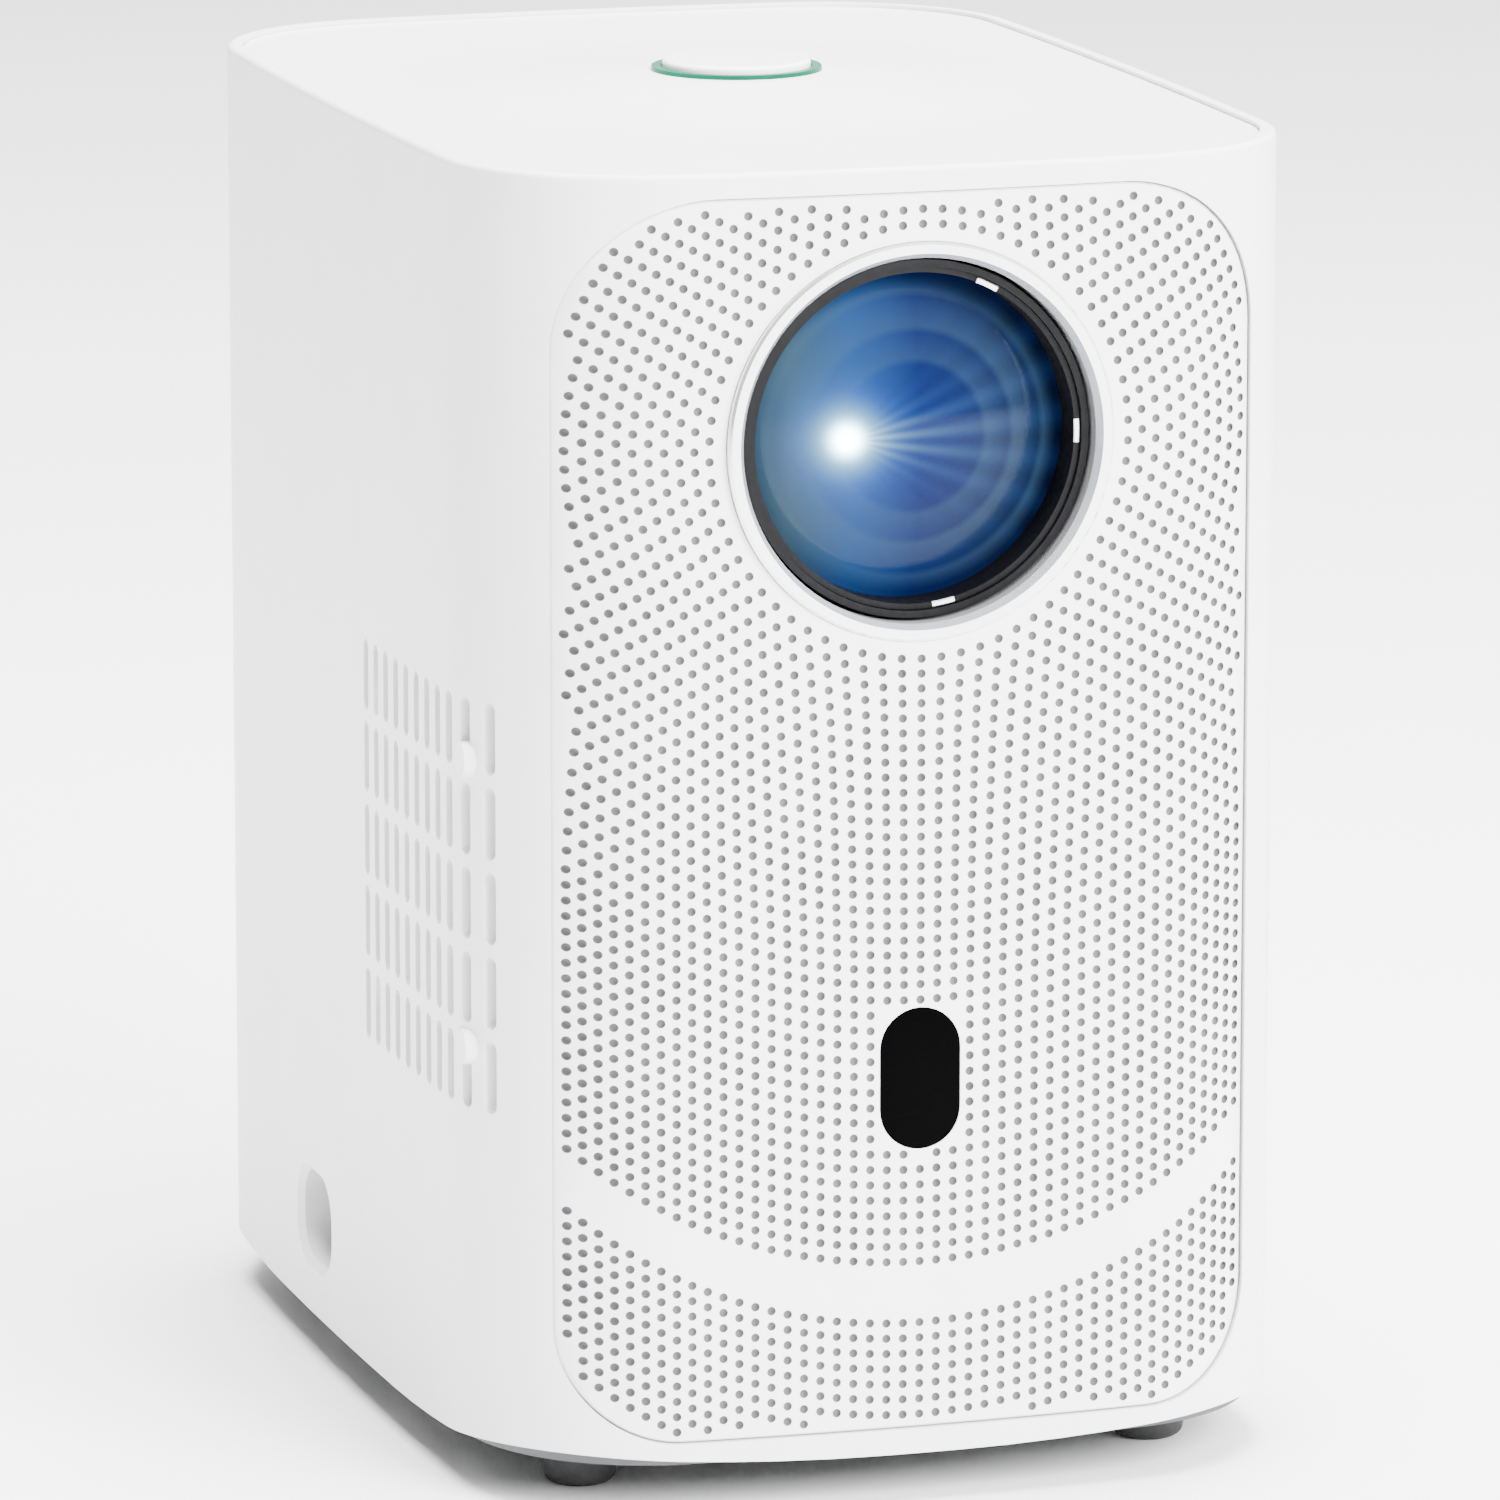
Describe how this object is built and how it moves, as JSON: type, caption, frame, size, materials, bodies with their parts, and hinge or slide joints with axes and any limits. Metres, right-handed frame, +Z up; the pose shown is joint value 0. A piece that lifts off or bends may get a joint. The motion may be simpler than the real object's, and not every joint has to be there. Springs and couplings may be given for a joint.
{
  "type": "home projector",
  "caption": "Upright home projector with rounded white housing, perforated curved front panel, large round lens, side vents, lid power button in a green light ring and rubber feet.",
  "frame": {"origin": "middle of the housing on the surface the feet stand on", "axes": "+Z up, the lens and the front panel face -Y, +X to the right of someone who looks at the front"},
  "size_m": [0.15, 0.214, 0.2357],
  "materials": {
    "shell_white": "satin white, smooth",
    "panel_white": "satin white with a pattern of small round dimples",
    "button_white": "satin white",
    "ring_green": "translucent emerald, lit from behind",
    "window_black": "high-gloss black, passes infrared",
    "bezel_silver": "bright anodised, bevelled",
    "barrel_black": "matte black",
    "lens_glass": "coated, blue reflection",
    "clear_pane": "clear, polished",
    "lcd_dark": "dark, polished",
    "nylon": "natural nylon",
    "inner_black": "black, fine texture",
    "inner_grey": "dark grey, fine texture",
    "alloy": "extruded, lightly brushed",
    "motor_steel": "plated",
    "screw_steel": "plated",
    "socket_steel": "plated",
    "circuit_green": "solder mask",
    "lamp_yellow": "phosphor on a white board",
    "cone_black": "coated paper",
    "silicone": "soft, translucent grey",
    "foot_rubber": "dark grey, matte",
    "insert_brass": "turned"
  },
  "bodies": {
    "housing": {"outer_shell": "shell_white", "top_plate": "shell_white", "light_ring": "ring_green", "button_return_dome": "silicone", "button_board": "circuit_green", "button_board_screws": "screw_steel", "front_panel": "panel_white", "infrared_window": "window_black", "infrared_receiver_board": "circuit_green", "lens_bezel": "bezel_silver", "lens_holder": "inner_black", "focus_motor": "motor_steel", "engine_housing": "inner_black", "engine_cover": "inner_black", "field_lens": "clear_pane", "lcd_panel": "lcd_dark", "fresnel_lens": "clear_pane", "heat_glass": "clear_pane", "condenser_lens": "clear_pane", "led_lamp": "lamp_yellow", "heat_sink": "alloy", "engine_cover_screws": "screw_steel", "engine_mounting_screws": "screw_steel", "heat_sink_screws": "screw_steel", "exhaust_fan_frame": "inner_black", "intake_fan_frame": "inner_black", "fan_screws": "screw_steel", "left_speaker_box": "inner_black", "left_speaker": "motor_steel", "left_speaker_cone": "cone_black", "right_speaker_box": "inner_black", "right_speaker": "motor_steel", "right_speaker_cone": "cone_black", "rear_panel": "shell_white", "main_board": "circuit_green", "hdmi_socket": "socket_steel", "usb_socket": "socket_steel", "audio_socket": "inner_black", "board_screws": "screw_steel", "power_jack": "inner_grey", "power_board": "circuit_green", "base_plate": "inner_grey", "base_screws": "screw_steel", "tripod_insert": "insert_brass", "front_left_foot": "foot_rubber", "front_right_foot": "foot_rubber", "rear_left_foot": "foot_rubber", "rear_right_foot": "foot_rubber"},
    "power_button": {"power_button": "button_white"},
    "focus_ring": {"focus_ring": "nylon"},
    "focus_pinion": {"focus_pinion": "nylon"},
    "lens_group": {"lens_barrel": "barrel_black", "lens_retaining_ring": "barrel_black", "lens_front_glass": "lens_glass", "lens_middle_glass": "lens_glass", "lens_rear_glass": "lens_glass", "front_lens_spacer": "barrel_black", "rear_lens_spacer": "barrel_black"},
    "exhaust_rotor": {"exhaust_fan_rotor": "inner_grey"},
    "intake_rotor": {"intake_fan_rotor": "inner_grey"}
  },
  "joints": [
    {"name": "power_button_press", "type": "slide", "parent": "housing", "child": "power_button", "axis": [0, 0, -1], "range_m": [0, 0.001], "stiffness_N_per_m": 900, "springref_m": -0.0006, "deforming": ["button_return_dome"]},
    {"name": "lens_focus_slide", "type": "slide", "parent": "housing", "child": "lens_group", "axis": [0, 1, 0], "range_m": [0, 0.004]},
    {"name": "focus_ring_spin", "type": "hinge", "parent": "housing", "child": "focus_ring", "pos_m": [0, -0.08155, 0.1842], "axis": [0, 1, 0], "range_deg": [0, 120.1]},
    {"name": "focus_pinion_spin", "type": "hinge", "parent": "housing", "child": "focus_pinion", "pos_m": [-0.02978, -0.0748, 0.15442], "axis": [0, 1, 0], "range_deg": [-720.5, 0]},
    {"name": "exhaust_fan_spin", "type": "hinge", "parent": "housing", "child": "exhaust_rotor", "pos_m": [0, 0.09, 0.1822], "axis": [0, 1, 0], "continuous": true},
    {"name": "intake_fan_spin", "type": "hinge", "parent": "housing", "child": "intake_rotor", "pos_m": [-0.0622, -0.0545, 0.104], "axis": [1, 0, 0], "continuous": true}
  ],
  "couplings": [
    {"joint": "focus_ring_spin", "follows": "lens_focus_slide", "rad_per_m": 523.6},
    {"joint": "focus_pinion_spin", "follows": "lens_focus_slide", "rad_per_m": -3141.6}
  ]
}
